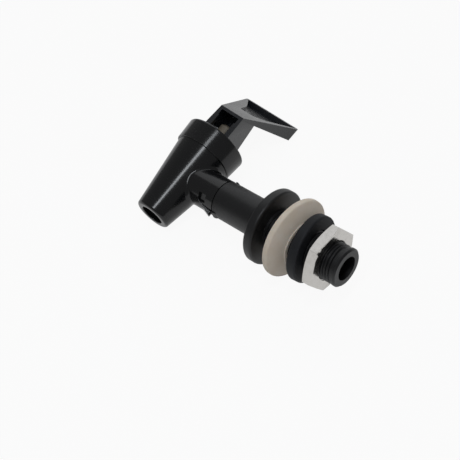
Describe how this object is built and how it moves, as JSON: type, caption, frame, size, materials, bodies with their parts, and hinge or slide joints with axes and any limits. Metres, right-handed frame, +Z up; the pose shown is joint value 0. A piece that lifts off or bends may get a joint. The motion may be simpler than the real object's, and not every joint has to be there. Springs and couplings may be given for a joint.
{
  "type": "beverage dispenser faucet",
  "caption": "Self-closing lever faucet with a tapered spout body, threaded shank, wall gasket, backing washer and hex nut.",
  "frame": {"origin": "centre of the shank's inlet end face, on the axis of its thread and bore", "axes": "+X leaves the shank through its inlet end, +Z runs up the valve body from spout to lever, and the lever's paddle points to +Y, turned 11.4 degrees about +Z as in the picture"},
  "size_m": [0.1221, 0.052, 0.0928],
  "materials": {
    "black_gloss_plastic": "moulded black plastic, glossy",
    "lever_plastic": "moulded black plastic, glossy and a little hazed",
    "black_satin_plastic": "moulded black plastic, satin",
    "stem_plastic": "natural tan acetal",
    "white_plastic": "natural white plastic",
    "clear_silicone": "milky silicone",
    "black_rubber": "moulded black rubber, dull",
    "beige_silicone": "beige silicone, dull",
    "steel": "bright drawn stainless steel",
    "nickel_plate": "nickel plate over stamped steel"
  },
  "bodies": {
    "valve_and_shank": {"faucet_body": "black_gloss_plastic", "bonnet_cap": "black_gloss_plastic", "seat_cup": "clear_silicone", "shank": "black_satin_plastic", "shank_o_ring": "black_rubber", "wall_gasket": "beige_silicone"},
    "spring_seat": {"slip_washer": "white_plastic", "return_spring": "steel"},
    "stem": {"valve_stem": "stem_plastic"},
    "lever": {"lever_handle": "lever_plastic", "lever_pin": "steel"},
    "backing": {"backing_washer": "black_rubber"},
    "nut": {"hex_nut": "nickel_plate"}
  },
  "joints": [
    {"name": "handle_swivel", "type": "hinge", "parent": "valve_and_shank", "child": "spring_seat", "pos_m": [-0.0995, 0, 0], "axis": [0, 0, 1], "continuous": true},
    {"name": "stem_lift", "type": "slide", "parent": "spring_seat", "child": "stem", "axis": [0, 0, 1], "range_m": [0, 0.00366], "stiffness_N_per_m": 500, "springref_m": -0.008, "deforming": ["return_spring", "seat_cup"]},
    {"name": "lever_tilt", "type": "hinge", "parent": "stem", "child": "lever", "pos_m": [-0.0995, 0, 0.0307], "axis": [-0.9803, -0.1977, 0], "range_deg": [0, 20]},
    {"name": "nut_travel", "type": "slide", "parent": "valve_and_shank", "child": "backing", "axis": [1, 0, 0], "range_m": [-0.00071, 0.00781]},
    {"name": "nut_turn", "type": "hinge", "parent": "backing", "child": "nut", "pos_m": [-0.0105, 0, 0], "axis": [1, 0, 0], "range_deg": [-160, 1770]}
  ],
  "couplings": [
    {"joint": "lever_tilt", "follows": "stem_lift", "rad_per_m": 95.238},
    {"joint": "nut_travel", "follows": "nut_turn", "m_per_rad": 0.00025266}
  ]
}
